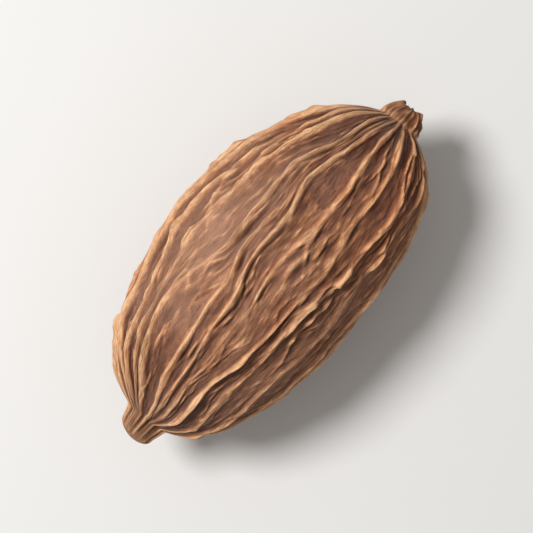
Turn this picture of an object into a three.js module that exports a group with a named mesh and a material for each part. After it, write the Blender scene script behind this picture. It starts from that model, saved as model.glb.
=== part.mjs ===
// A dried black cardamom pod lying on its side, in millimetres, with +Z up and its resting spot on z = 0.
// It is one grown piece: a ribbed husk, the stub of its stalk at -X and the withered flower tube at +X.
// A bearing is an angle round the pod's long axis, in degrees, from straight up towards +Y.
import * as THREE from "three";

// Driving dimensions
const podLength = 34;
const stubLength = 1.9;
const stubRadius = 1.6;
const stubTaper = 0.3;
const stubRounding = 0.7;
const stubSlant = 0.22;
const tubeLength = 1.9;
const tubeRadius = 1.5;
const tubeSwell = 0.2;
const tubeDrawIn = 0.6;
const tubeDepth = 0.7;
const tubeRaggedness = 0.3;
const huskHalfWidth = 8.3;
const huskHalfHeight = 7.5;
const stemEndFullness = 0.45;
const flowerEndFullness = 0.45;
const threeSidedness = 0.03;
const edgeBearing = 90;
const restHeight = 7.1;
const valleyDepth = 0.16;

// How far the pod's middle line is bowed towards +Y and +Z at five stations, from the stalk to the flower
// tube
const bowAcross = [1.1, 1.0, 1.0, 0.5, -0.1];
const bowUp = [0.5, 0.1, 0, 0.1, 0.6];

// The ribs in view, from the +Y side over the top to the -Y side: how far across the pod the crest of each
// one lies, as seen from above, and how high it stands, at nine stations along the husk
const seenRibs = [
  {
    across: [2.3, 6.6, 8.1, 8.9, 9.2, 8.8, 7.9, 6.1, 2.0],
    heights: [0.3, 0.35, 0.3, 0.35, 0.4, 0.35, 0.35, 0.35, 0.2],
  },
  {
    across: [2.0, 5.8, 7.0, 8.2, 8.5, 8.2, 7.1, 5.3, 1.7],
    heights: [0.35, 0.4, 0.12, 0.35, 0.35, 0.15, 0.15, 0.15, 0.15],
  },
  {
    across: [1.8, 5.0, 6.3, 7.0, 7.4, 7.0, 6.1, 4.5, 1.3],
    heights: [0.3, 0.25, 0.1, 0.1, 0.15, 0.12, 0.4, 0.45, 0.25],
  },
  {
    across: [1.6, 4.1, 5.7, 5.6, 4.4, 4.7, 4.3, 2.7, 0.85],
    heights: [0.4, 0.5, 0.2, 0.06, 0.3, 0.4, 0.38, 0.4, 0.3],
  },
  {
    across: [1.0, 1.8, 2.5, 2.7, 3.4, 3.1, 3.4, 2.3, 0.6],
    heights: [0.4, 0.5, 0.5, 0.35, 0.4, 0.12, 0.05, 0.05, 0.1],
  },
  {
    across: [0.8, 0.9, 1.2, 1.5, 2.3, 2.4, 2.7, 1.9, 0.35],
    heights: [0.1, 0.12, 0.5, 0.6, 0.55, 0.6, 0.55, 0.35, 0.2],
  },
  {
    across: [0.4, 0.1, -0.1, 0.1, 0.4, 0.2, -0.2, 0.2, 0],
    heights: [0.1, 0.12, 0.05, 0.05, 0.12, 0.25, 0.3, 0.35, 0.25],
  },
  {
    across: [0, -1.2, -1.7, -2.3, -2.4, -2.6, -2.0, -2.0, -0.45],
    heights: [0.4, 0.55, 0.65, 0.55, 0.45, 0.4, 0.35, 0.35, 0.25],
  },
  {
    across: [-0.7, -2.7, -3.2, -3.2, -3.5, -4.1, -4.2, -3.6, -1.2],
    heights: [0.2, 0.05, 0.05, 0.35, 0.6, 0.4, 0.3, 0.45, 0.45],
  },
  {
    across: [-1.1, -4.4, -4.8, -5.5, -5.6, -5.4, -5.3, -5.0, -1.6],
    heights: [0.35, 0.3, 0.15, 0.12, 0.1, 0.3, 0.25, 0.35, 0.3],
  },
  {
    across: [-1.3, -4.9, -6.2, -6.8, -7.0, -7.0, -6.7, -5.6, -1.9],
    heights: [0.3, 0.3, 0.3, 0.25, 0.25, 0.3, 0.3, 0.35, 0.2],
  },
];
const crestReach = 0.35;
const sideLimit = 0.97;

// The ribs on the far side are spread evenly over what is left of the turn, and then wander
const farRibCount = 13;
const farWander = 4;
const farLeastHeight = 0.15;
const farHeightSpread = 0.45;

// The small waves that every rib has, in degrees, and how often they come along the husk
const waveSize = 0.7;
const waveCount = 4.3;

// Mesh: the places of the columns in the gap from one rib's crest to the next, and the rows along the pod
const gapPlaces = [0, 0.13, 0.37, 0.63, 0.87];
const footHeight = 0.3;
const roundingRows = 4;
const huskRows = 38;
const tubeRows = 4;

const huskStart = stubLength;
const huskLength = podLength - stubLength - tubeLength;
const stationCount = 9;

const mix = (a, b, share) => a + (b - a) * share;
const clamp = (value, low, high) => Math.min(high, Math.max(low, value));
const radians = (angle) => (angle * Math.PI) / 180;
const degrees = (angle) => (angle * 180) / Math.PI;

// A number from 0 to 1 that looks random and is always the same for the same two whole numbers
function draw(index, salt) {
  const wide = Math.sin(index * 12.9898 + salt * 78.233) * 43758.5453;
  return wide - Math.floor(wide);
}

// The value at a share of the way along evenly spaced stations, on a smooth curve through all of them
function along(values, share) {
  const last = values.length - 1;
  const place = clamp(share, 0, 1) * last;
  const i = Math.min(Math.floor(place), last - 1);
  const t = place - i;
  const before = values[Math.max(i - 1, 0)];
  const after = values[Math.min(i + 2, last)];
  const slopeIn = (values[i + 1] - before) / 2;
  const slopeOut = (after - values[i]) / 2;
  const rise = values[i + 1] - values[i];
  const bend = 3 * rise - 2 * slopeIn - slopeOut;
  const twist = slopeIn + slopeOut - 2 * rise;
  return values[i] + t * (slopeIn + t * (bend + t * twist));
}

// The husk's half width as a share of its widest, from 0 at either end
function huskShare(x) {
  const t = clamp((x - huskStart) / huskLength, 0, 1);
  return (1 - (2 * t - 1) ** 2) ** (t < 0.5 ? stemEndFullness : flowerEndFullness);
}

// The radius of the stalk's stub, which tapers to a rounded end, and of the flower tube, which draws in
// to its rim
function endRadius(x) {
  if (x < podLength / 2) {
    const taper = stubTaper * clamp(1 - x / stubLength, 0, 1);
    const rounding = Math.sqrt(1 - clamp(1 - x / stubRounding, 0, 1) ** 2);
    return (stubRadius - taper) * rounding;
  }
  const place = clamp((x - podLength + tubeLength) / tubeLength, 0, 1);
  return tubeRadius + tubeSwell * Math.sin(Math.PI * place) - tubeDrawIn * place ** 2;
}

// The husk blends into the stub and the tube where they are about as wide as each other
function skinRadius(x, halfSize) {
  return ((halfSize * huskShare(x)) ** 4 + endRadius(x) ** 4) ** 0.25;
}

// The bearing of a crest that lies at a distance across the pod, at one of the nine stations
function crestBearing(across, station) {
  const x = huskStart + (huskLength * station) / (stationCount - 1);
  const reach = skinRadius(x, huskHalfWidth) + crestReach;
  const sine = (across - along(bowAcross, x / podLength)) / reach;
  return degrees(Math.asin(clamp(sine, -sideLimit, sideLimit)));
}

// All the ribs in order round the pod, the seen ones first
function allRibs() {
  const ribs = seenRibs.map(({ across, heights }) => ({ bearings: across.map(crestBearing), heights }));
  const first = ribs[0];
  const last = ribs[ribs.length - 1];
  for (let k = 1; k <= farRibCount; k++) {
    const bearings = [];
    const heights = [];
    for (let station = 0; station < stationCount; station++) {
      const even = mix(last.bearings[station], first.bearings[station] - 360, k / (farRibCount + 1));
      bearings.push(even + farWander * (2 * draw(k, station) - 1));
      heights.push(farLeastHeight + farHeightSpread * draw(k, station + 10));
    }
    ribs.push({ bearings, heights });
  }
  return ribs;
}

const ribs = allRibs();

// The bearing of a rib's crest at a share of the husk's length. One past the last rib is the first, a turn
// on.
function ribBearing(index, share) {
  const turns = Math.floor(index / ribs.length);
  const which = index % ribs.length;
  const wave = waveSize * Math.sin(2 * Math.PI * (waveCount * share + draw(which, 20)));
  return along(ribs[which].bearings, share) + wave - 360 * turns;
}

function ribHeight(index, share) {
  return along(ribs[index % ribs.length].heights, share);
}

// The stations along the pod, each with its place and how much of the skin's radius is there. They lie
// closest where the husk turns in towards its ends. The last ones turn in over the flower tube's rim, down
// into its cup.
function podRows() {
  const rows = [];
  for (let k = 0; k <= roundingRows; k++) {
    rows.push({ x: stubRounding * (1 - Math.cos((Math.PI / 2) * (k / roundingRows))), radiusShare: 1 });
  }
  rows.push({ x: (stubRounding + huskStart) / 2, radiusShare: 1 });
  for (let k = 1; k <= huskRows; k++) {
    const turn = (Math.PI * k) / (huskRows + 1);
    rows.push({ x: huskStart + huskLength * (1 - Math.cos(turn)) / 2, radiusShare: 1 });
  }
  for (let k = 1; k <= tubeRows; k++) {
    rows.push({ x: podLength - tubeLength * (1 - k / tubeRows), radiusShare: 1 });
  }
  rows.push({ x: podLength - tubeDepth * 0.35, radiusShare: 0.68 });
  rows.push({ x: podLength - tubeDepth, radiusShare: 0.4 });
  rows.push({ x: podLength - tubeDepth, radiusShare: 0 });
  return rows;
}

// How far the skin stands out of its smooth shape in the gap between two ribs, at a share of the husk's
// length. The columns are a rib's crest, its foot, both edges of the sunk valley, and the next rib's foot.
function relief(rib, gapColumn, share) {
  if (gapColumn === 0) return ribHeight(rib, share);
  if (gapColumn === 1) return footHeight * ribHeight(rib, share);
  if (gapColumn === 4) return footHeight * ribHeight(rib + 1, share);
  return -valleyDepth;
}

// How far a point moves along the pod: the stub's end is cut aslant, and the tube's rim has three worn lobes
function endShift(x, radiusShare, bearing) {
  const stubEnd = clamp(1 - x / stubLength, 0, 1) * (endRadius(x) / stubRadius);
  const slant = stubSlant * stubEnd * Math.sin(radians(bearing));
  const tubeEnd = clamp((x - podLength + tubeLength) / tubeLength, 0, 1);
  const lobe = (1 + Math.sin(3 * radians(bearing) + 1)) / 2;
  return slant - tubeRaggedness * tubeEnd * radiusShare * lobe;
}

// The point of the skin in one column of the mesh
function skinPoint(row, column) {
  const share = (row.x - huskStart) / huskLength;
  const rib = Math.floor(column / gapPlaces.length);
  const gapColumn = column % gapPlaces.length;
  const bearing = mix(ribBearing(rib, share), ribBearing(rib + 1, share), gapPlaces[gapColumn]);

  const width = skinRadius(row.x, huskHalfWidth);
  const height = skinRadius(row.x, huskHalfHeight);
  const sides = 1 + threeSidedness * huskShare(row.x) * Math.cos(3 * radians(bearing - edgeBearing));
  const ribShare = (width / huskHalfWidth) ** 0.6 * clamp(row.x / stubLength, 0, 1) ** 1.5;
  const out = ribShare * relief(rib, gapColumn, share);

  const sin = Math.sin(radians(bearing));
  const cos = Math.cos(radians(bearing));
  const across = row.radiusShare * (width * sides + out) * sin + along(bowAcross, row.x / podLength);
  const up = row.radiusShare * (height * sides + out) * cos + along(bowUp, row.x / podLength);
  const forward = row.x + endShift(row.x, row.radiusShare, bearing);
  return new THREE.Vector3(forward, across, Math.max(up, -restHeight));
}

// A turned shape gives the mesh its rows and columns, and each of its points is then moved to the skin
function podGeometry() {
  const rows = podRows();
  const columns = gapPlaces.length * ribs.length;
  const outline = rows.map((row) => {
    return new THREE.Vector2(row.radiusShare * skinRadius(row.x, huskHalfWidth), row.x);
  });
  const geometry = new THREE.LatheGeometry(outline, columns);
  const position = geometry.getAttribute("position");
  for (let column = 0; column <= columns; column++) {
    rows.forEach((row, k) => {
      const point = skinPoint(row, column % columns);
      position.setXYZ(column * rows.length + k, point.x, point.y, point.z);
    });
  }
  geometry.computeVertexNormals();
  geometry.computeBoundingBox();
  return geometry;
}

const husk = new THREE.MeshStandardMaterial({ color: 0x8f644b, roughness: 0.7, metalness: 0 });

const pod = new THREE.Mesh(podGeometry(), husk);
pod.name = "pod";
const { min, max } = pod.geometry.boundingBox;
pod.position.set(-(min.x + max.x) / 2, -(min.y + max.y) / 2, restHeight);

const group = new THREE.Group();
group.add(pod);

export default group;
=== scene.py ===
import math

import bmesh
import bpy
import numpy as np
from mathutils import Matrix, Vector, noise


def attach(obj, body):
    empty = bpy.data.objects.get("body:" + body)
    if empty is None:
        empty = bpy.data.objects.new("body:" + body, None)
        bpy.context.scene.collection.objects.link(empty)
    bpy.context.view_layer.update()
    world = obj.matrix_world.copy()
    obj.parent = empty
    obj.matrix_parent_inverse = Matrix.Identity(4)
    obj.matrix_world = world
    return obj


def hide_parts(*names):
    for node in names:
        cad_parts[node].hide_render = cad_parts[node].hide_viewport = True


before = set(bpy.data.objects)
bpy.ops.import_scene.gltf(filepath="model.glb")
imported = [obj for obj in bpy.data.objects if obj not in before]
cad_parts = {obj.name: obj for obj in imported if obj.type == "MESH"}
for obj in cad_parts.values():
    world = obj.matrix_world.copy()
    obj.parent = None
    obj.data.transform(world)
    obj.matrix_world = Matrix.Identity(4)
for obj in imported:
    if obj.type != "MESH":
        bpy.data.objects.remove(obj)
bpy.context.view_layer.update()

# The camera looks straight down on the pod from high above. It is turned so that the pod's flower end points
# up and to the right in the picture.
POD_TURN = math.radians(51.2)
CAMERA_HEIGHT = 0.15
PICTURE_WIDTH = 0.0415
SENSOR_WIDTH = 36
AIM_HEIGHT = 0.008

camera_data = bpy.data.cameras.new("camera")
camera_data.sensor_width = SENSOR_WIDTH
camera_data.lens = SENSOR_WIDTH * CAMERA_HEIGHT / PICTURE_WIDTH
camera_data.clip_start = 0.005
camera_data.clip_end = 5
camera = bpy.data.objects.new("camera", camera_data)
camera.location = (0.0, 0.0, CAMERA_HEIGHT + AIM_HEIGHT)
camera.rotation_euler = (0.0, 0.0, -POD_TURN)
bpy.context.scene.collection.objects.link(camera)
bpy.context.scene.camera = camera

# The pod: a dried fruit husk with cord-like ribs from its stalk to its flower end. It is dry, papery and
# brown, and it has shrunk onto the seeds, so it is wrinkled between the ribs. The stub of the stalk and the
# withered flower tube grew with it in one piece. Sizes are in millimetres.
MM = 0.001
POD_LENGTH = 34.0
STUB_LENGTH = 1.9
STUB_RADIUS = 1.6
STUB_TAPER = 0.3
STUB_ROUNDING = 0.7
STUB_SLANT = 0.22
TUBE_LENGTH = 1.9
TUBE_RADIUS = 1.5
TUBE_SWELL = 0.2
TUBE_DRAW_IN = 0.6
TUBE_RAGGEDNESS = 0.3
HUSK_HALF_WIDTH = 8.3
HUSK_HALF_HEIGHT = 7.5
STEM_END_FULLNESS = 0.45
FLOWER_END_FULLNESS = 0.45
THREE_SIDEDNESS = 0.03
REST_HEIGHT = 7.1
VALLEY_DEPTH = 0.16
HUSK_START = STUB_LENGTH
HUSK_LENGTH = POD_LENGTH - STUB_LENGTH - TUBE_LENGTH
BOW_ACROSS = (1.1, 1.0, 1.0, 0.5, -0.1)
BOW_UP = (0.5, 0.1, 0.0, 0.1, 0.6)
# The solid is centred in the frame, which puts the stub's end and the bow's own axis here
POD_START = -16.993
POD_MIDDLE = -1.081

# The ribs in view, from the +Y side over the top to the -Y side: how far across the pod the crest of each one
# lies, as seen from above, and how high it stands, at nine stations along the husk
SEEN_RIBS = (
    ((2.3, 6.6, 8.1, 8.9, 9.2, 8.8, 7.9, 6.1, 2.0),
     (0.3, 0.35, 0.3, 0.35, 0.4, 0.35, 0.35, 0.35, 0.2)),
    ((2.0, 5.8, 7.0, 8.2, 8.5, 8.2, 7.1, 5.3, 1.7),
     (0.35, 0.4, 0.12, 0.35, 0.35, 0.15, 0.15, 0.15, 0.15)),
    ((1.8, 5.0, 6.3, 7.0, 7.4, 7.0, 6.1, 4.5, 1.3),
     (0.3, 0.25, 0.1, 0.1, 0.15, 0.12, 0.4, 0.45, 0.25)),
    ((1.6, 4.1, 5.7, 5.6, 4.4, 4.7, 4.3, 2.7, 0.85),
     (0.4, 0.5, 0.2, 0.06, 0.3, 0.4, 0.38, 0.4, 0.3)),
    ((1.0, 1.8, 2.5, 2.7, 3.4, 3.1, 3.4, 2.3, 0.6),
     (0.4, 0.5, 0.5, 0.35, 0.4, 0.12, 0.05, 0.05, 0.1)),
    ((0.8, 0.9, 1.2, 1.5, 2.3, 2.4, 2.7, 1.9, 0.35),
     (0.1, 0.12, 0.5, 0.6, 0.55, 0.6, 0.55, 0.35, 0.2)),
    ((0.4, 0.1, -0.1, 0.1, 0.4, 0.2, -0.2, 0.2, 0),
     (0.1, 0.12, 0.05, 0.05, 0.12, 0.25, 0.3, 0.35, 0.25)),
    ((0, -1.2, -1.7, -2.3, -2.4, -2.6, -2.0, -2.0, -0.45),
     (0.4, 0.55, 0.65, 0.55, 0.45, 0.4, 0.35, 0.35, 0.25)),
    ((-0.7, -2.7, -3.2, -3.2, -3.5, -4.1, -4.2, -3.6, -1.2),
     (0.2, 0.05, 0.05, 0.35, 0.6, 0.4, 0.3, 0.45, 0.45)),
    ((-1.1, -4.4, -4.8, -5.5, -5.6, -5.4, -5.3, -5.0, -1.6),
     (0.35, 0.3, 0.15, 0.12, 0.1, 0.3, 0.25, 0.35, 0.3)),
    ((-1.3, -4.9, -6.2, -6.8, -7.0, -7.0, -6.7, -5.6, -1.9),
     (0.3, 0.3, 0.3, 0.25, 0.25, 0.3, 0.3, 0.35, 0.2)),
)
STATION_COUNT = 9
CREST_REACH = 0.35
SIDE_LIMIT = 0.97
FAR_RIB_COUNT = 13
FAR_WANDER = 4
FAR_LEAST_HEIGHT = 0.15
FAR_HEIGHT_SPREAD = 0.45
WAVE_SIZE = 0.7
WAVE_COUNT = 4.3
# A salt keeps one row of seeded draws apart from the others
HEIGHT_SALT = 10
WAVE_SALT = 20
THIN_CORD_SALT = 30
DRAW_INDEX_STEP = 12.9898
DRAW_SALT_STEP = 78.233
DRAW_GAIN = 43758.5453


def draw(index, salt):
    """A number from 0 to 1 that looks random and is always the same for the same two whole numbers."""
    wide = math.sin(index * DRAW_INDEX_STEP + salt * DRAW_SALT_STEP) * DRAW_GAIN
    return wide - math.floor(wide)


def along(values, share):
    """The values at shares of the way along even stations, on a smooth curve through all of them."""
    values = np.asarray(values, float)
    last = len(values) - 1
    place = np.clip(share, 0, 1) * last
    i = np.minimum(np.floor(place).astype(int), last - 1)
    t = place - i
    slope_in = (values[i + 1] - values[np.maximum(i - 1, 0)]) / 2
    slope_out = (values[np.minimum(i + 2, last)] - values[i]) / 2
    rise = values[i + 1] - values[i]
    bend = 3 * rise - 2 * slope_in - slope_out
    return values[i] + t * (slope_in + t * (bend + t * (slope_in + slope_out - 2 * rise)))


def husk_share(x):
    """The husk's half width as a share of its widest, from 0 at either end."""
    t = np.clip((x - HUSK_START) / HUSK_LENGTH, 0, 1)
    return (1 - (2 * t - 1) ** 2) ** np.where(t < 0.5, STEM_END_FULLNESS, FLOWER_END_FULLNESS)


def along_tube(x):
    """The share of the way along the flower tube, from 0 where it leaves the husk to 1 at its rim."""
    return np.clip((x - POD_LENGTH + TUBE_LENGTH) / TUBE_LENGTH, 0, 1)


def end_radius(x):
    """The radius of the stalk's stub, and of the flower tube."""
    taper = STUB_TAPER * np.clip(1 - x / STUB_LENGTH, 0, 1)
    stub = (STUB_RADIUS - taper) * np.sqrt(1 - np.clip(1 - x / STUB_ROUNDING, 0, 1) ** 2)
    place = along_tube(x)
    tube = TUBE_RADIUS + TUBE_SWELL * np.sin(math.pi * place) - TUBE_DRAW_IN * place ** 2
    return np.where(x < POD_LENGTH / 2, stub, tube)


def skin_radius(x, half_size):
    """The husk's half width or half height, blended into the stub and the tube."""
    return ((half_size * husk_share(x)) ** 4 + end_radius(x) ** 4) ** 0.25


def bearing_at(x, across):
    """The bearing of a place on the upper side, in degrees, from how far across the pod it lies."""
    from_axis = np.asarray(across) - along(BOW_ACROSS, x / POD_LENGTH)
    sine = from_axis / (skin_radius(x, HUSK_HALF_WIDTH) + CREST_REACH)
    return np.degrees(np.arcsin(np.clip(sine, -SIDE_LIMIT, SIDE_LIMIT)))


# The ribs on the far side are spread evenly over what is left of the turn, and then wander
station_x = HUSK_START + HUSK_LENGTH * np.arange(STATION_COUNT) / (STATION_COUNT - 1)
ribs = [(bearing_at(station_x, across), heights) for across, heights in SEEN_RIBS]
start, end = ribs[-1][0], ribs[0][0] - 360
stations = range(STATION_COUNT)
for k in range(1, FAR_RIB_COUNT + 1):
    drift = np.array([2 * draw(k, station) - 1 for station in stations])
    heights = [FAR_LEAST_HEIGHT + FAR_HEIGHT_SPREAD * draw(k, station + HEIGHT_SALT) for station in stations]
    ribs.append((start + (end - start) * k / (FAR_RIB_COUNT + 1) + FAR_WANDER * drift, heights))
rib_count = len(ribs)

# The rows lie at even steps along the pod's outline, and then go over the flower tube's rim into its cup.
# Each row in the cup has its place along the pod and its share of the tube's radius.
SKIN_ROWS = 214
CUP_ROWS = (
    (33.97, 0.9), (33.8, 0.84), (33.5, 0.78), (33.2, 0.7),
    (32.95, 0.58), (32.8, 0.42), (32.72, 0.2), (32.7, 0),
)
CUP_STEP = 0.2
STUB_END_POINTS = 200
STUB_POINTS = 60
HUSK_POINTS = 4001
TUBE_POINTS = 80
fine_x = np.concatenate([
    STUB_ROUNDING * (1 - np.cos(np.linspace(0, math.pi / 2, STUB_END_POINTS))),
    np.linspace(STUB_ROUNDING, HUSK_START, STUB_POINTS)[1:-1],
    HUSK_START + HUSK_LENGTH * (1 - np.cos(np.linspace(0, math.pi, HUSK_POINTS)[1:-1])) / 2,
    np.linspace(POD_LENGTH - TUBE_LENGTH, POD_LENGTH, TUBE_POINTS)[1:],
])
fine_radius = skin_radius(fine_x, HUSK_HALF_WIDTH)
travelled = np.concatenate([[0], np.cumsum(np.hypot(np.diff(fine_x), np.diff(fine_radius)))])
row_travel = np.linspace(0, travelled[-1], SKIN_ROWS)
row_x = np.interp(row_travel, travelled, fine_x)
row_share = np.ones(SKIN_ROWS)
row_x = np.concatenate([row_x, [x for x, _ in CUP_ROWS]])
row_share = np.concatenate([row_share, [share for _, share in CUP_ROWS]])
row_travel = np.concatenate([row_travel, row_travel[-1] + CUP_STEP * np.arange(1, len(CUP_ROWS) + 1)])
row_count = len(row_x)
husk_place = (row_x - HUSK_START) / HUSK_LENGTH

rib_bearing = np.empty((row_count, rib_count + 1))
rib_height = np.empty((row_count, rib_count + 1))
for k in range(rib_count + 1):
    bearings, heights = ribs[k % rib_count]
    wave = WAVE_SIZE * np.sin(2 * math.pi * (WAVE_COUNT * husk_place + draw(k % rib_count, WAVE_SALT)))
    rib_bearing[:, k] = along(bearings, husk_place) + wave - 360 * (k // rib_count)
    rib_height[:, k] = along(heights, husk_place)

# The columns follow the ribs, and lie closer together on the side in view
SEEN_COUNT = len(SEEN_RIBS)
SEEN_STEP = 0.088
FAR_STEP = 0.15
LEAST_COLUMNS = 7
MIDDLE_FROM = 0.15
MIDDLE_TO = 0.85
middle_rows = (husk_place > MIDDLE_FROM) & (husk_place < MIDDLE_TO)
column_rib, column_place = [], []
for k in range(rib_count):
    gap = math.radians(np.mean((rib_bearing[:, k] - rib_bearing[:, k + 1])[middle_rows])) * HUSK_HALF_WIDTH
    count = max(LEAST_COLUMNS, round(gap / (SEEN_STEP if k < SEEN_COUNT else FAR_STEP)))
    column_rib += [k] * count
    column_place += [i / count for i in range(count)]
column_rib, column_place = np.array(column_rib), np.array(column_place)
column_count = len(column_rib)

left_bearing, right_bearing = rib_bearing[:, column_rib], rib_bearing[:, column_rib + 1]
bearing = np.radians(left_bearing + (right_bearing - left_bearing) * column_place)
width = skin_radius(row_x, HUSK_HALF_WIDTH)[:, None]
height = skin_radius(row_x, HUSK_HALF_HEIGHT)[:, None]
gap_width = np.radians(left_bearing - right_bearing) * width

# Noise that runs along the ribs, or lies on the pod's own shape where it isn't stretched. Its sizes are in
# millimetres, and a salt keeps one noise apart from the others.
GRAIN_RADIUS = 8.0
NOISE_GAIN = 1.6
SALT_SHIFT = (31.7, -17.3, 5.9)
RIB_SHIFT = 7.31
RIB_SALT_SHIFT = 3.77
column_turn = bearing[middle_rows].mean(axis=0)


def field(across, lengthwise, salt, angle=column_turn[None, :]):
    """Smooth noise over the whole skin, from about -1 to 1, with features of two sizes."""
    shape = (row_count, column_count)
    x = np.broadcast_to(np.cos(angle) * GRAIN_RADIUS / across + SALT_SHIFT[0] * salt, shape)
    y = np.broadcast_to(np.sin(angle) * GRAIN_RADIUS / across + SALT_SHIFT[1] * salt, shape)
    z = np.broadcast_to(row_travel[:, None] / lengthwise + SALT_SHIFT[2] * salt, shape)
    points = np.stack([x, y, z], axis=-1).reshape(-1, 3).tolist()
    return NOISE_GAIN * np.array([noise.noise(p) for p in points]).reshape(shape)


def rib_noise(index, step, salt):
    """Smooth noise along one rib, from about -1 to 1, with features of the size of step."""
    place = index * RIB_SHIFT + salt * RIB_SALT_SHIFT
    points = [(travel / step, place, 0.5) for travel in row_travel.tolist()]
    return NOISE_GAIN * np.array([noise.noise(p) for p in points])


def ridges(values, sharpness):
    """Thin crests, from 0 to 1, where the noise crosses zero."""
    return np.clip(1 - np.abs(values), 0, 1) ** sharpness


def smooth_step(values, low, high):
    """A soft change from 0 to 1 as the values go from low to high."""
    t = np.clip((values - low) / (high - low), 0, 1)
    return t * t * (3 - 2 * t)


def hump(*distances):
    """A soft rise to 1 where every distance is 0, which dies away past a distance of 1."""
    return np.exp(-sum(distance ** 2 for distance in distances))


def aside_from(x, across):
    """How far each point lies round the skin from a place on the upper side, in millimetres."""
    return (bearing - math.radians(float(bearing_at(x, across)))) * width


# Each rib is a cord of fibres with a wider foot and a fine groove on either side. Places and reaches are in
# half widths of the cord, and the other sizes are shares of its crest's height.
CORD_HALF_WIDTH = 0.17
CORE_SHARPNESS = 1.45
CORE_HEIGHT = 0.72
FOOT_HEIGHT = 0.3
FOOT_REACH = 2.8
GROOVE_PLACE = 1.9
GROOVE_REACH = 0.6
GROOVE_DEPTH = 0.36
FAR_GROOVE_DEPTH = 0.18


def cord(offset, crest, half_width):
    """The relief of one cord, at distances from its middle."""
    core = np.exp(-np.abs(offset / half_width) ** CORE_SHARPNESS)
    foot = hump(offset / (FOOT_REACH * half_width))
    groove = hump((offset - GROOVE_PLACE * half_width) / (GROOVE_REACH * half_width))
    far_groove = hump((offset + GROOVE_PLACE * half_width) / (GROOVE_REACH * half_width))
    return crest * (
        CORE_HEIGHT * core + FOOT_HEIGHT * foot - GROOVE_DEPTH * groove - FAR_GROOVE_DEPTH * far_groove
    )


# The ribs are uneven and wander a little. Those on the outline are even and broad, three on the -Y side break
# up towards the flower end, and those on the far side die away in places.
SHORT_UNEVENNESS = 0.35
LONG_UNEVENNESS = 0.4
OUTLINE_RIBS = (0, 10)
OUTLINE_UNEVENNESS = 0.25
OUTLINE_GIRTH = 1.5
BROKEN_RIBS = (7, 8, 9)
BREAK_DEPTH = 0.75
BREAK_FROM = 14
BREAK_TO = 18
FAR_STRENGTH = 0.9
FAR_FADE = 0.65
FAR_WANDER_GAIN = 2.5
LEAST_STRENGTH = 0.12
MOST_STRENGTH = 1.55
CORD_WANDER = 0.11
FINE_WANDER = 0.3
GIRTH_SPREAD = 0.35
NARROWING_POWER = 0.6
LEAST_WIDTH_SHARE = 0.02
narrowing = np.maximum(width / HUSK_HALF_WIDTH, LEAST_WIDTH_SHARE) ** NARROWING_POWER
strength = np.empty_like(rib_height)
wander = np.empty_like(rib_height)
girth = np.empty_like(rib_height)
for k in range(rib_count + 1):
    which = k % rib_count
    far = which >= SEEN_COUNT
    uneven = 1 + SHORT_UNEVENNESS * rib_noise(which, step=1.6, salt=1)
    uneven += LONG_UNEVENNESS * rib_noise(which, step=3.7, salt=2)
    if which in BROKEN_RIBS:
        gone = smooth_step(rib_noise(which, step=1.7, salt=12), 0.1, -0.3)
        uneven *= 1 - BREAK_DEPTH * smooth_step(row_x, BREAK_FROM, BREAK_TO) * gone
    if far:
        uneven *= FAR_STRENGTH - FAR_FADE * smooth_step(rib_noise(which, step=3.2, salt=13), 0.15, -0.35)
    if which in OUTLINE_RIBS:
        uneven = 1 - OUTLINE_UNEVENNESS + OUTLINE_UNEVENNESS * uneven
    strength[:, k] = rib_height[:, k] * np.clip(uneven, LEAST_STRENGTH, MOST_STRENGTH)
    drift = rib_noise(which, step=2.6, salt=3) + FINE_WANDER * rib_noise(which, step=1.1, salt=4)
    wander[:, k] = CORD_WANDER * drift
    if far:
        wander[:, k] *= FAR_WANDER_GAIN
    girth[:, k] = CORD_HALF_WIDTH * (1 + GIRTH_SPREAD * rib_noise(which, step=2.0, salt=8))
    if which in OUTLINE_RIBS:
        girth[:, k] *= OUTLINE_GIRTH

# Near the stalk and the flower the ribs stand higher, and near the stalk they are stouter too
STALK_FAN_PLACE = 3.6
STALK_FAN_REACH = 3.2
FLOWER_FAN_PLACE = 30.0
FLOWER_FAN_REACH = 2.6
FAN_STRENGTH = 0.35
FAN_STRENGTH_SPREAD = 0.4
FAN_GIRTH = 0.45
FAN_GIRTH_SPREAD = 0.5
near_stalk = hump((row_x - STALK_FAN_PLACE) / STALK_FAN_REACH)[:, None]
near_flower = hump((row_x - FLOWER_FAN_PLACE) / FLOWER_FAN_REACH)[:, None]
strength *= 1 + FAN_STRENGTH * near_stalk + FAN_STRENGTH * near_flower
for k in range(rib_count + 1):
    which = k % rib_count
    stoutness = FAN_GIRTH + FAN_GIRTH_SPREAD * rib_noise(which, step=2.8, salt=14)
    girth[:, k] *= 1 + near_stalk[:, 0] * stoutness
    strength[:, k] *= 1 + FAN_STRENGTH_SPREAD * near_stalk[:, 0] * rib_noise(which, step=1.8, salt=15)

# Each point lies between two ribs, and has the relief of both. Fine strands run along a cord, which is
# slimmer where the pod narrows.
STRAND_HEIGHT = 0.15
SLIMMING_POWER = 0.4
from_left = column_place * gap_width
from_right = (column_place - 1) * gap_width
relief = np.zeros_like(gap_width)
strands = 1 + STRAND_HEIGHT * field(across=0.3, lengthwise=1.8, salt=11)
slimmed = narrowing ** SLIMMING_POWER
for side, offset in ((0, from_left), (1, from_right)):
    own = column_rib + side
    relief += cord(offset - wander[:, own] * narrowing, strength[:, own] * strands, girth[:, own] * slimmed)

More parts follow.
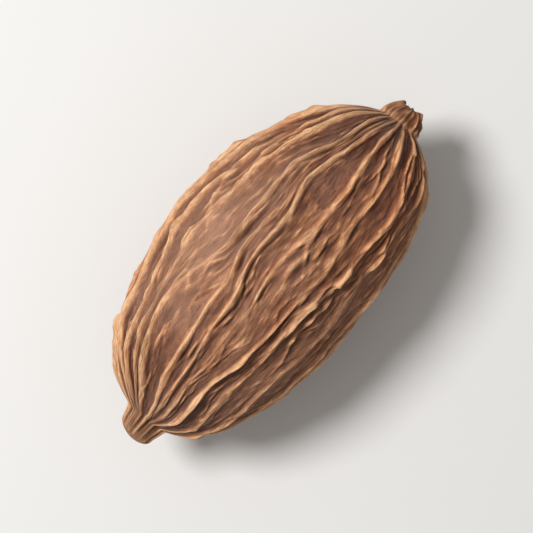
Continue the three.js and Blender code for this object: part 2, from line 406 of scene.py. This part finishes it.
# The husk is calmer near the outline, and in smooth patches that show in the photograph: place along the pod,
# place across it, length and breadth
OUTLINE_CALM = 0.6
OUTLINE_FROM = 0.82
OUTLINE_TO = 0.97
PATCH_CALM = 0.7
calm = 1 - OUTLINE_CALM * smooth_step(np.abs(np.sin(bearing)), OUTLINE_FROM, OUTLINE_TO)
for patch_x, patch_across, length, breadth in (
    (9.5, -4.6, 4.0, 1.1), (14.5, -5.6, 5.0, 1.0), (20.5, -5.9, 3.5, 0.8), (11.0, 6.3, 3.5, 0.9),
    (13.5, -0.9, 3.0, 0.8), (17.0, 6.2, 3.0, 0.9), (22.5, -3.3, 3.0, 0.6), (8.0, 3.6, 2.5, 0.7),
):
    aside = aside_from(patch_x, patch_across)
    calm *= 1 - PATCH_CALM * hump((row_x[:, None] - patch_x) / length, aside / breadth)

# Thinner cords wander in the gaps between the ribs, rise and die away, and sometimes join a rib. Each layer's
# are thinner and lower than the last one's, and they fade out where the gap is narrow.
THIN_LAYERS = 7
LAYER_STEP = 40
THIN_BEND = 0.35
THIN_FINE_BEND = 0.08
THIN_HALF_WIDTH = 0.16
THIN_HALF_WIDTH_STEP = 0.012
THIN_HEIGHT = 0.25
THIN_HEIGHT_STEP = 0.022
THIN_SHARPNESS = 1.8
THIN_GROOVE_DEPTH = 0.4
THIN_GROOVE_REACH = 0.7
FAR_THIN_GAIN = 1.3
NARROW_GAP = 0.45
WIDE_GAP = 1.4
room = smooth_step(gap_width, NARROW_GAP, WIDE_GAP)
for layer in range(THIN_LAYERS):
    middle = np.empty((row_count, rib_count))
    rise = np.empty((row_count, rib_count))
    for k in range(rib_count):
        own = k + LAYER_STEP * layer
        middle[:, k] = draw(own, THIN_CORD_SALT) + THIN_BEND * rib_noise(own, step=4.2, salt=5)
        middle[:, k] += THIN_FINE_BEND * rib_noise(own, step=1.2, salt=6)
        rise[:, k] = smooth_step(rib_noise(own, step=2.6, salt=7), -0.05, 0.45)
    offset = (column_place - middle[:, column_rib]) * gap_width
    side_gain = np.where(column_rib < SEEN_COUNT, 1, FAR_THIN_GAIN)
    thin = (THIN_HALF_WIDTH - THIN_HALF_WIDTH_STEP * layer) * narrowing * side_gain
    core = np.exp(-np.abs(offset / thin) ** THIN_SHARPNESS)
    groove = hump((offset - GROOVE_PLACE * thin) / (THIN_GROOVE_REACH * thin))
    crest = (THIN_HEIGHT - THIN_HEIGHT_STEP * layer) * room * rise[:, column_rib] * calm
    relief += crest * (core - THIN_GROOVE_DEPTH * groove)

# The skin sinks between the ribs. The cords run on to the stub and the tube, and get lower where the pod is
# thin.
VALLEY_HALF_WIDTH = 0.5
STALK_VALLEY_GAIN = 1.4
FLOWER_VALLEY_GAIN = 1.0
STUB_POWER = 0.6
RELIEF_POWER = 0.7
nearest = np.minimum(np.abs(from_left), np.abs(from_right))
valley = 1 - hump(nearest / (VALLEY_HALF_WIDTH * narrowing))
relief -= VALLEY_DEPTH * valley * (1 + STALK_VALLEY_GAIN * near_stalk + FLOWER_VALLEY_GAIN * near_flower)
past_stub = np.clip(row_x / STUB_LENGTH, 0, 1)[:, None] ** STUB_POWER
relief *= narrowing ** RELIEF_POWER * past_stub

# Between the ribs the husk is wrinkled along its length and a little across it, and it is fibrous all over
WRINKLE_HEIGHT = 0.13
WRINKLE_LEVEL = 0.03
FINE_WRINKLE_HEIGHT = 0.09
FINE_WRINKLE_LEVEL = 0.05
PUCKER_HEIGHT = 0.04
PUCKERS_ON_RIBS = 0.4
GRIT_HEIGHT = 0.03
FIBRE_HEIGHT = 0.04
WARP = 0.5
WRINKLE_SHARPNESS = 4
FINE_WRINKLE_SHARPNESS = 2
ROUGH_POWER = 1.2
ROUGH_STUB_POWER = 2.5
warp = WARP * field(across=1.6, lengthwise=3.4, salt=1)
wrinkles = ridges(field(across=0.6, lengthwise=3.6, salt=2) + warp, WRINKLE_SHARPNESS)
fine_wrinkles = ridges(field(across=0.3, lengthwise=2.0, salt=3) + warp, FINE_WRINKLE_SHARPNESS)
puckers = field(across=0.6, lengthwise=0.9, salt=4)
rough = valley * (WRINKLE_HEIGHT * wrinkles - WRINKLE_LEVEL)
rough += FINE_WRINKLE_HEIGHT * fine_wrinkles
rough -= FINE_WRINKLE_LEVEL
rough += PUCKER_HEIGHT * puckers * (PUCKERS_ON_RIBS + (1 - PUCKERS_ON_RIBS) * valley)
grit_relief = GRIT_HEIGHT * field(across=0.22, lengthwise=0.9, salt=5)
rough += grit_relief + FIBRE_HEIGHT * field(across=0.2, lengthwise=1.8, salt=12)
relief += rough * calm * narrowing ** ROUGH_POWER * past_stub ** ROUGH_STUB_POWER

# Pits and lumps that show in the photograph: place along the pod, place across it, length, breadth and height
for spot_x, spot_across, length, breadth, rise in (
    (25.9, 3.0, 0.9, 0.28, -0.4), (18.4, -1.1, 0.8, 0.26, -0.34), (21.0, -1.9, 0.7, 0.35, -0.3),
    (22.9, -2.4, 0.8, 0.3, -0.3), (26.6, -1.1, 0.6, 0.3, -0.3), (26.3, 6.4, 0.7, 0.25, -0.3),
    (18.9, 3.9, 1.5, 0.22, -0.25), (7.5, 3.5, 1.6, 0.3, -0.3), (9.6, 4.9, 1.4, 0.3, -0.28),
    (11.4, -1.2, 0.9, 0.5, 0.3), (13.9, -1.5, 0.7, 0.45, 0.25), (16.4, 0.4, 0.5, 0.4, 0.12),
    (15.9, -1.2, 1.5, 0.9, 0.14), (18.3, -0.5, 0.9, 0.2, 0.25), (18.6, -1.75, 0.7, 0.2, 0.22),
    (23.5, -5.2, 0.35, 0.3, 0.3), (15.7, -6.1, 0.4, 0.35, 0.25), (15.9, -4.6, 0.3, 0.35, 0.2),
):
    aside = aside_from(spot_x, spot_across)
    relief += rise * hump((row_x[:, None] - spot_x) / length, aside / breadth)

# The seeds inside show as soft lumps, and the relief is a little stronger on the +Y side
SEED_LUMP_HEIGHT = 0.15
SIDE_DIFFERENCE = 0.2
seed_lumps = field(across=2.8, lengthwise=3.4, salt=6, angle=bearing)
relief += SEED_LUMP_HEIGHT * husk_share(row_x)[:, None] * seed_lumps
relief *= 1 + SIDE_DIFFERENCE * np.sin(bearing)

# The stub's end is cut aslant and a little uneven, and the flower tube is crumpled, with a torn and withered
# rim and a small fillet where it meets the husk
TEAR_LOBES = 3
TEAR_TURN = 1
TEAR_DEPTH = 0.22
STUB_LUMP_HEIGHT = 0.07
STUB_LUMP_REACH = 2.6
CRUMPLE_HEIGHT = 0.22
FINE_CRUMPLE_HEIGHT = 0.16
FILLET_HEIGHT = 0.2
FILLET_PLACE = 0.05
FILLET_REACH = 0.5
STUB_END_REACH = 3
stub_end = np.clip(1 - row_x / STUB_LENGTH, 0, 1) * (end_radius(row_x) / STUB_RADIUS)
tube_end = along_tube(row_x)
lobe = (1 + np.sin(TEAR_LOBES * bearing + TEAR_TURN)) / 2
tear = TUBE_RAGGEDNESS * lobe + TEAR_DEPTH * (1 + field(across=2.5, lengthwise=50.0, salt=7))
shift = STUB_SLANT * stub_end[:, None] * np.sin(bearing)
shift -= tube_end[:, None] * row_share[:, None] * tear
stub_lumps = field(across=2.6, lengthwise=0.9, salt=8)
relief += STUB_LUMP_HEIGHT * np.clip(1 - row_x / STUB_LUMP_REACH, 0, 1)[:, None] * stub_lumps
crumples = CRUMPLE_HEIGHT * field(across=4.5, lengthwise=1.4, salt=9)
crumples += FINE_CRUMPLE_HEIGHT * field(across=1.7, lengthwise=1.3, salt=10)
relief += tube_end[:, None] ** 0.5 * crumples
# The stub and the tube keep the solid's size, so their relief is centred on it
ends = np.maximum(np.clip(1 - row_x / STUB_END_REACH, 0, 1), tube_end)[:, None] ** 0.5
relief -= ends * relief.mean(axis=1, keepdims=True)
relief += FILLET_HEIGHT * hump((row_x - POD_LENGTH + TUBE_LENGTH - FILLET_PLACE) / FILLET_REACH)[:, None]

# The skin's points. The pod is bowed and faintly three-sided, and flat where it rests.
sides = 1 + THREE_SIDEDNESS * husk_share(row_x)[:, None] * np.cos(3 * (bearing - math.pi / 2))
bow_across = along(BOW_ACROSS, row_x / POD_LENGTH)[:, None]
bow_up = along(BOW_UP, row_x / POD_LENGTH)[:, None]
across = row_share[:, None] * (width * sides + relief) * np.sin(bearing) + bow_across
up = row_share[:, None] * (height * sides + relief) * np.cos(bearing) + bow_up
skin = np.stack([
    np.broadcast_to(row_x[:, None] + shift, across.shape) + POD_START,
    across + POD_MIDDLE,
    np.maximum(up, -REST_HEIGHT) + REST_HEIGHT,
], axis=-1) * MM


def blurred(values, rows, columns):
    """The values averaged over the rows and columns round each point, three times over."""
    for _ in range(3):
        values = sum(np.roll(values, s, axis=1) for s in range(-columns, columns + 1)) / (2 * columns + 1)
        padded = np.pad(values, ((rows, rows), (0, 0)), mode="edge")
        values = sum(padded[s:s + row_count] for s in range(2 * rows + 1)) / (2 * rows + 1)
    return values


# How far each point stands out of the skin round it, which the colours follow, painted shade in the
# hollows and a partly painted highlight on the crests among them. The relief is lower where the pod is thin,
# and that is made up for.
PROUD_LEAST_WIDTH = 0.1
PROUD_POWER = 0.4
proud = relief - blurred(relief, rows=2, columns=5)
proud /= np.maximum(width / HUSK_HALF_WIDTH, PROUD_LEAST_WIDTH) ** PROUD_POWER

# The husk is paler on the +Y side of its middle, and is redder on the -Y side of its flower end
PALE_PATCH_PLACE = 16
PALE_PATCH_LENGTH = 7.5
PALE_PATCH_BEARING = 0.6
PALE_PATCH_BREADTH = 0.55
PALE_PATCH_SPREAD = 0.3
RED_PLACE = 27
RED_LENGTH = 6
RED_BEARING = -0.6
RED_BREADTH = 0.6
paler_patch = hump((row_x[:, None] - PALE_PATCH_PLACE) / PALE_PATCH_LENGTH, (bearing - PALE_PATCH_BEARING) / PALE_PATCH_BREADTH)
red = hump((row_x[:, None] - RED_PLACE) / RED_LENGTH, (bearing - RED_BEARING) / RED_BREADTH)
pale_and_red = paler_patch * (1 + PALE_PATCH_SPREAD * field(across=2.0, lengthwise=3.0, salt=16)) - red

# A turned outline gives the mesh its rows and columns, and each of its points is then moved to the skin. A
# point also carries what the colours need: how far it stands out, how pale and red it is and its place in
# the husk's grain.
TURNED_RADIUS = 5
MERGE_DISTANCE = 1e-7
mesh = bpy.data.meshes.new("pod_skin")
shell = bmesh.new()
outline = []
for k in range(row_count):
    radius = 0.0 if k in (0, row_count - 1) else TURNED_RADIUS
    outline.append(shell.verts.new((k * MM, 0.0, radius * MM)))
edges = [shell.edges.new((a, b)) for a, b in zip(outline, outline[1:])]
bmesh.ops.spin(
    shell, geom=outline + edges, axis=(1, 0, 0), cent=(0, 0, 0), angle=2 * math.pi, steps=column_count,
    use_merge=True,
)
bmesh.ops.remove_doubles(shell, verts=shell.verts, dist=MERGE_DISTANCE)
proud_layer = shell.verts.layers.float.new("proud")
grain_layer = shell.verts.layers.float_vector.new("grain")
along_layer = shell.verts.layers.float.new("lengthwise")
pale_and_red_layer = shell.verts.layers.float.new("pale_and_red")
for point in shell.verts:
    row = round(point.co.x / MM)
    column = round(math.atan2(-point.co.y, point.co.z) / (2 * math.pi) * column_count) % column_count
    if row in (0, row_count - 1):
        column = 0
    point[proud_layer] = proud[row, column]
    point[pale_and_red_layer] = pale_and_red[row, column]
    angle = column_turn[column]
    point[grain_layer] = (row_travel[row], GRAIN_RADIUS * math.cos(angle), GRAIN_RADIUS * math.sin(angle))
    point[along_layer] = row_x[row] if row < SKIN_ROWS else POD_LENGTH + CUP_STEP * (row - SKIN_ROWS)
    point.co = skin[row, column]
bmesh.ops.recalc_face_normals(shell, faces=shell.faces)
for face in shell.faces:
    face.smooth = True
shell.to_mesh(mesh)
shell.free()
pod = bpy.data.objects.new("pod_husk", mesh)
bpy.context.scene.collection.objects.link(pod)

# Husk: dull brown, lighter and warmer on the crests, partly their own colour and partly a painted
# highlight, mauve in the valleys, and darkened by painted shade in the valleys and cracks
husk = bpy.data.materials.new("dry_husk")
husk.use_nodes = True
nodes, links = husk.node_tree.nodes, husk.node_tree.links
shader = nodes["Principled BSDF"]
shader.inputs["IOR"].default_value = 1.42
shader.inputs["Sheen Weight"].default_value = 0.05
shader.inputs["Sheen Roughness"].default_value = 0.5


def srgb(*seen):
    """A colour as it is seen, from 0 to 255, as the shader takes it."""
    seen = [v / 255 for v in seen]
    return [v / 12.92 if v <= 0.04045 else ((v + 0.055) / 1.055) ** 2.4 for v in seen] + [1.0]


def attribute(name):
    """A value that the mesh's points carry."""
    node = nodes.new("ShaderNodeAttribute")
    node.attribute_name = name
    return node


def stretched_noise(source, size_mm, detail, roughness):
    """Noise on the grain, with features of a size along the pod and across it."""
    mapping = nodes.new("ShaderNodeMapping")
    mapping.inputs["Scale"].default_value = [1 / s for s in size_mm]
    links.new(source, mapping.inputs["Vector"])
    texture = nodes.new("ShaderNodeTexNoise")
    texture.inputs["Scale"].default_value = 1.0
    texture.inputs["Detail"].default_value = detail
    texture.inputs["Roughness"].default_value = roughness
    links.new(mapping.outputs["Vector"], texture.inputs["Vector"])
    return texture.outputs["Fac"]


def ramp(source, *stops):
    """The colour that lies between the nearest two stops, each a place and a colour."""
    node = nodes.new("ShaderNodeValToRGB")
    bar = node.color_ramp
    while len(bar.elements) < len(stops):
        bar.elements.new(0.5)
    for element, (position, colour) in zip(bar.elements, stops):
        element.position = position
        element.color = colour
    links.new(source, node.inputs["Fac"])
    return node.outputs["Color"]


def maths(operation, first, second):
    """A sum of two numbers or sockets."""
    node = nodes.new("ShaderNodeMath")
    node.operation = operation
    for socket, value in zip(node.inputs, (first, second)):
        if isinstance(value, (int, float)):
            socket.default_value = value
        else:
            links.new(value, socket)
    return node.outputs["Value"]


def remap(source, low, high, new_low=0.0, new_high=1.0):
    """The source moved from one range to another, and held inside it."""
    node = nodes.new("ShaderNodeMapRange")
    for socket, value in zip(node.inputs, (source, low, high, new_low, new_high)):
        if isinstance(value, (int, float)):
            socket.default_value = value
        else:
            links.new(value, socket)
    return node.outputs["Result"]


def mixed(share, first, second, blend="MIX"):
    """The second colour laid over the first by a share from 0 to 1."""
    node = nodes.new("ShaderNodeMix")
    node.data_type = "RGBA"
    node.blend_type = blend
    for name, value in (("Factor_Float", share), ("A_Color", first), ("B_Color", second)):
        socket = next(s for s in node.inputs if s.identifier == name)
        if hasattr(value, "is_output"):
            links.new(value, socket)
        else:
            socket.default_value = value
    return next(s for s in node.outputs if s.identifier == "Result_Color")


# The darkest browns are painted shade for cracks and valleys, the brightest tan partly a painted highlight
CRACK_SHADE_BROWN = srgb(92, 48, 24)
VALLEY_SHADE_BROWN = srgb(143, 91, 57)
HUSK_BROWN = srgb(172, 118, 82)
CREST_TAN = srgb(204, 147, 106)
CREST_HIGHLIGHT_TAN = srgb(242, 190, 142)
MAUVE = srgb(143, 103, 86)
WARM_TINT = srgb(238, 196, 160)
FIBRE_SHADE = srgb(172, 156, 144)
UNSHADED = srgb(255, 255, 255)
FLECK_GLINT_TAN = srgb(240, 192, 146)
HOLLOW_SHADE_BROWN = srgb(86, 50, 34)
PALE_PATCH_TAN = srgb(214, 168, 138)
RED_TINT = srgb(244, 206, 172)
STUB_HIGHLIGHT_TAN = srgb(218, 162, 116)
TUBE_BROWN = srgb(180, 112, 66)
RIM_TAN = srgb(214, 178, 128)

grain = attribute("grain").outputs["Vector"]
stands_out = attribute("proud").outputs["Fac"]
lengthwise = attribute("lengthwise").outputs["Fac"]
pale_and_red_share = attribute("pale_and_red").outputs["Fac"]
mottle = stretched_noise(grain, size_mm=(1.3, 0.4, 0.4), detail=4, roughness=0.6)
patches = stretched_noise(grain, size_mm=(6.0, 3.0, 3.0), detail=2, roughness=0.5)
warm_patches = stretched_noise(grain, size_mm=(3.5, 1.6, 1.6), detail=3, roughness=0.6)
fibres = stretched_noise(grain, size_mm=(1.0, 0.1, 0.1), detail=4, roughness=0.65)
flecks = stretched_noise(grain, size_mm=(0.8, 0.18, 0.18), detail=3, roughness=0.55)
grit = stretched_noise(grain, size_mm=(0.16, 0.08, 0.08), detail=3, roughness=0.6)

# The tone follows the relief, more so towards the ends, where it is low: painted shade darkens the valleys
# and cracks, and a partly painted highlight lightens the crests
from_middle = maths("ABSOLUTE", maths("SUBTRACT", lengthwise, POD_LENGTH / 2), 0.0)
depth = maths("MULTIPLY", stands_out, remap(from_middle, 8.0, 14.0, 1.0, 1.7))
tone = maths("ADD", remap(depth, -0.2, 0.25), remap(mottle, 0.25, 0.75, -0.26, 0.26))
skin_colour = ramp(
    tone,
    (0.0, CRACK_SHADE_BROWN), (0.25, VALLEY_SHADE_BROWN), (0.45, HUSK_BROWN), (0.65, CREST_TAN), (1.0, CREST_HIGHLIGHT_TAN),
)

# Mauve lies in the valleys, warm patches and fibres all over, and here and there pale flecks on the crests,
# partly painted glints, and dark streaks in the hollows that are painted shade
sunk = remap(stands_out, 0.08, -0.08)
mauve_share = maths("MULTIPLY", remap(patches, 0.4, 0.58, 0.1, 0.55), sunk)
mauve = mixed(mauve_share, skin_colour, MAUVE)
warmed = mixed(remap(warm_patches, 0.5, 0.68, 0.0, 0.45), mauve, WARM_TINT, "MULTIPLY")
fibre_tint = ramp(fibres, (0.34, FIBRE_SHADE), (0.62, UNSHADED))
fibrous = mixed(remap(lengthwise, 1.5, 4.0, 0.35, 0.75), warmed, fibre_tint, "MULTIPLY")
# Pale flecks on the crests, partly pale flakes of skin and partly painted glints
fleck_glint_share = maths("MULTIPLY", remap(flecks, 0.55, 0.67, 0.0, 0.65), remap(stands_out, -0.02, 0.1))
flecked_and_glinting = mixed(fleck_glint_share, fibrous, FLECK_GLINT_TAN)
# Dark streaks only in the hollows: painted shade
hollow_shade_share = maths("MULTIPLY", remap(flecks, 0.44, 0.32, 0.0, 0.6), remap(stands_out, 0.06, -0.04))
hollow_shaded = mixed(hollow_shade_share, flecked_and_glinting, HOLLOW_SHADE_BROWN)

# The paler and redder patches, a painted highlight that lightens the stub towards its end, and the colours of
# the tube and its rim lie over all
paled = mixed(remap(pale_and_red_share, 0.0, 1.0, 0.0, 0.26), hollow_shaded, PALE_PATCH_TAN)
reddened = mixed(remap(pale_and_red_share, 0.0, -1.0, 0.0, 0.6), paled, RED_TINT, "MULTIPLY")
# A painted highlight, stronger towards the stub's end
with_stub_highlight = mixed(remap(lengthwise, 2.4, 0.3, 0.0, 0.45), reddened, STUB_HIGHLIGHT_TAN)
with_tube = mixed(remap(lengthwise, 31.9, 33.2, 0.0, 0.5), with_stub_highlight, TUBE_BROWN)
rim = maths("MULTIPLY", remap(lengthwise, 33.2, 33.7), remap(mottle, 0.56, 0.66))
with_rim = mixed(rim, with_tube, RIM_TAN)
links.new(with_rim, shader.inputs["Base Color"])
links.new(remap(tone, 0.1, 0.9, 0.85, 0.68), shader.inputs["Roughness"])

# A fine bump stands for the fibres and grit that are too small for the mesh
BUMP_HEIGHT = 0.14
GRIT_SHARE = 0.7
bump = nodes.new("ShaderNodeBump")
bump.inputs["Strength"].default_value = 1.0
bump.inputs["Distance"].default_value = BUMP_HEIGHT * MM
fine_relief = maths("ADD", maths("ADD", fibres, mottle), maths("MULTIPLY", grit, GRIT_SHARE))
links.new(fine_relief, bump.inputs["Height"])
links.new(bump.outputs["Normal"], shader.inputs["Normal"])
mesh.materials.append(husk)

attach(pod, "root")
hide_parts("pod")

# The studio: a plain pale floor of matt paint, one large soft light from the picture's upper left and pale
# light all round. The pod only rests on the floor.
FLOOR_HALF_SIZE = 0.6
FLOOR_COLOUR = (0.72, 0.71, 0.695, 1)
ROOM_COLOUR = (1.0, 0.985, 0.96, 1)
ROOM_STRENGTH = 0.36
KEY_PLACE = (-0.05, 0.155, 0.25)
KEY_SIZE = 0.10
KEY_POWER = 0.885
floor_mesh = bpy.data.meshes.new("floor")
floor_shape = bmesh.new()
bmesh.ops.create_grid(floor_shape, x_segments=1, y_segments=1, size=FLOOR_HALF_SIZE)
floor_shape.to_mesh(floor_mesh)
floor_shape.free()
floor = bpy.data.objects.new("floor", floor_mesh)
bpy.context.scene.collection.objects.link(floor)
paint = bpy.data.materials.new("pale_floor")
paint.use_nodes = True
floor_shader = paint.node_tree.nodes["Principled BSDF"]
floor_shader.inputs["Base Color"].default_value = FLOOR_COLOUR
floor_shader.inputs["Roughness"].default_value = 0.9
floor_mesh.materials.append(paint)

world = bpy.data.worlds.new("studio")
world.use_nodes = True
background = world.node_tree.nodes["Background"]
background.inputs["Color"].default_value = ROOM_COLOUR
background.inputs["Strength"].default_value = ROOM_STRENGTH
bpy.context.scene.world = world

lamp = bpy.data.lights.new("key_light", "AREA")
lamp.shape = "DISK"
lamp.size = KEY_SIZE
lamp.energy = KEY_POWER
light = bpy.data.objects.new("key_light", lamp)
light.location = KEY_PLACE
towards_pod = Vector((0, 0, AIM_HEIGHT)) - Vector(KEY_PLACE)
light.rotation_euler = towards_pod.to_track_quat("-Z", "Y").to_euler()
bpy.context.scene.collection.objects.link(light)
bpy.context.scene.view_settings.view_transform = "Standard"
